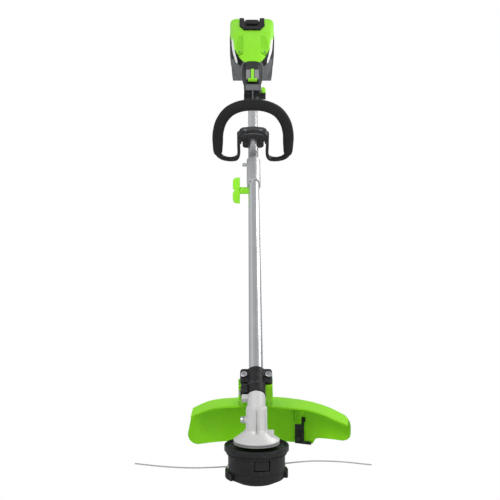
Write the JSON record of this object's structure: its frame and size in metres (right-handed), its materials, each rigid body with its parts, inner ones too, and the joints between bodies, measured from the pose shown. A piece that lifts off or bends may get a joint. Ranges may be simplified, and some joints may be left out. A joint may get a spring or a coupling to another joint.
{
  "type": "cordless string trimmer",
  "caption": "Cordless string trimmer with a split straight shaft, spinning bump-feed head, curved guard, loop handle, trigger grip and rear motor housing with sliding battery.",
  "frame": {"origin": "centre of the bump knob's flat bottom, on the spool's axis", "axes": "+Z along the spool's axis, up; +Y the way the shaft rises; +X to the right seen from the cutting end"},
  "size_m": [0.4108, 1.2537, 1.1492],
  "materials": {
    "green": "bright green moulded housing plastic, light texture",
    "guard_green": "green moulded guard plastic",
    "black": "black glass-filled nylon",
    "soft_black": "soft black overmould",
    "grey": "grey moulded plastic",
    "tube": "satin silver tube",
    "cast": "light grey painted die casting",
    "coupler": "matt grey extruded sleeve",
    "steel": "bright zinc-plated steel",
    "blade": "blackened steel blade",
    "copper": "copper windings on laminated steel",
    "line": "light grey nylon line",
    "board": "green circuit board"
  },
  "bodies": {
    "power_head": {"handle_shell_left": "black", "handle_shell_right": "black", "collar_panel": "grey", "lever_inlay": "grey", "trigger_switch": "black", "motor_shell_left": "grey", "motor_shell_right": "grey", "top_cover": "green", "latch_bezel": "black", "motor_stator": "copper", "controller_board": "board", "terminal_block": "black", "upper_tube": "tube", "upper_shaft_bush": "black", "coupler_sleeve": "coupler", "knob_nut": "steel"},
    "drive": {"motor_rotor": "steel", "upper_drive_shaft": "steel", "drive_socket": "steel"},
    "attachment": {"lower_tube": "tube", "lower_shaft_bush": "black", "gear_housing": "cast", "dust_ring": "grey", "spindle_bearing_lower": "steel", "spindle_bearing_upper": "steel", "pinion_bearing": "steel", "grease_plug": "steel", "clamp_band": "black", "pinch_bolt": "steel", "guard": "guard_green", "guard_clamp": "black", "guard_bolt_left": "steel", "guard_bolt_right": "steel", "line_cutter": "blade"},
    "lower_drive": {"lower_drive_shaft": "steel", "drive_pinion": "steel"},
    "spool_head": {"spool_housing": "black", "spool_cap": "black", "eyelet_left": "steel", "eyelet_right": "steel", "cutting_line_left": "line", "cutting_line_right": "line", "spindle": "steel", "output_gear": "steel", "spool_spring": "steel"},
    "bump": {"bump_knob": "black", "spool": "grey", "wound_line": "line"},
    "coupler_knob": {"coupler_knob": "green"},
    "release_pin": {"release_pin": "steel"},
    "loop_handle": {"loop_frame": "black", "loop_grip": "soft_black", "loop_clamp": "black", "loop_screw_left": "steel", "loop_screw_right": "steel"},
    "trigger": {"trigger": "black"},
    "lockoff_lever": {"lockoff_lever": "green"},
    "speed_dial": {"speed_dial": "green"},
    "battery": {"battery_pack": "black"},
    "battery_latch": {"battery_latch": "black"}
  },
  "joints": [
    {"name": "attachment_slide", "type": "slide", "parent": "power_head", "child": "attachment", "axis": [0, -0.7615, -0.6481], "range_m": [0, 0.06]},
    {"name": "head_spin", "type": "hinge", "parent": "attachment", "child": "spool_head", "pos_m": [0, 0, 0], "axis": [0, 0, 1], "continuous": true},
    {"name": "shaft_spin", "type": "hinge", "parent": "attachment", "child": "lower_drive", "pos_m": [0, 0, 0.12], "axis": [0, 0.7615, 0.6481], "continuous": true},
    {"name": "motor_spin", "type": "hinge", "parent": "power_head", "child": "drive", "pos_m": [0, 0, 0.12], "axis": [0, 0.7615, 0.6481], "continuous": true},
    {"name": "bump_slide", "type": "slide", "parent": "spool_head", "child": "bump", "axis": [0, 0, 1], "range_m": [0, 0.006], "stiffness_N_per_m": 2000, "springref_m": -0.004, "deforming": ["spool_spring"]},
    {"name": "knob_turn", "type": "hinge", "parent": "power_head", "child": "coupler_knob", "pos_m": [0, 0.5333, 0.54565], "axis": [-1, 0, 0], "range_deg": [0, 360]},
    {"name": "pin_pull", "type": "slide", "parent": "power_head", "child": "release_pin", "axis": [-1, 0, 0], "range_m": [0, 0.006], "stiffness_N_per_m": 600, "springref_m": -0.003},
    {"name": "loop_slide", "type": "slide", "parent": "power_head", "child": "loop_handle", "axis": [0, 0.7615, 0.6481], "range_m": [-0.06, 0.06]},
    {"name": "trigger_pull", "type": "hinge", "parent": "power_head", "child": "trigger", "pos_m": [0, 0.90461, 0.86231], "axis": [1, 0, 0], "range_deg": [0, 7], "stiffness_Nm_per_rad": 1.5, "springref_deg": -8.59},
    {"name": "lockoff_press", "type": "hinge", "parent": "power_head", "child": "lockoff_lever", "pos_m": [0, 0.92688, 0.93181], "axis": [1, 0, 0], "range_deg": [0, 3.5], "stiffness_Nm_per_rad": 3, "springref_deg": -5.73},
    {"name": "dial_turn", "type": "hinge", "parent": "power_head", "child": "speed_dial", "pos_m": [0, 0.86359, 0.85497], "axis": [1, 0, 0], "range_deg": [-60, 60]},
    {"name": "battery_slide", "type": "slide", "parent": "power_head", "child": "battery", "axis": [0, 0.7615, 0.6481], "range_m": [0, 0.12]},
    {"name": "latch_press", "type": "slide", "parent": "battery", "child": "battery_latch", "axis": [0, 0.6481, -0.7615], "range_m": [0, 0.003], "stiffness_N_per_m": 800, "springref_m": -0.003}
  ],
  "couplings": [
    {"joint": "shaft_spin", "follows": "head_spin", "ratio": 1.3571},
    {"joint": "motor_spin", "follows": "head_spin", "ratio": 1.3571}
  ]
}
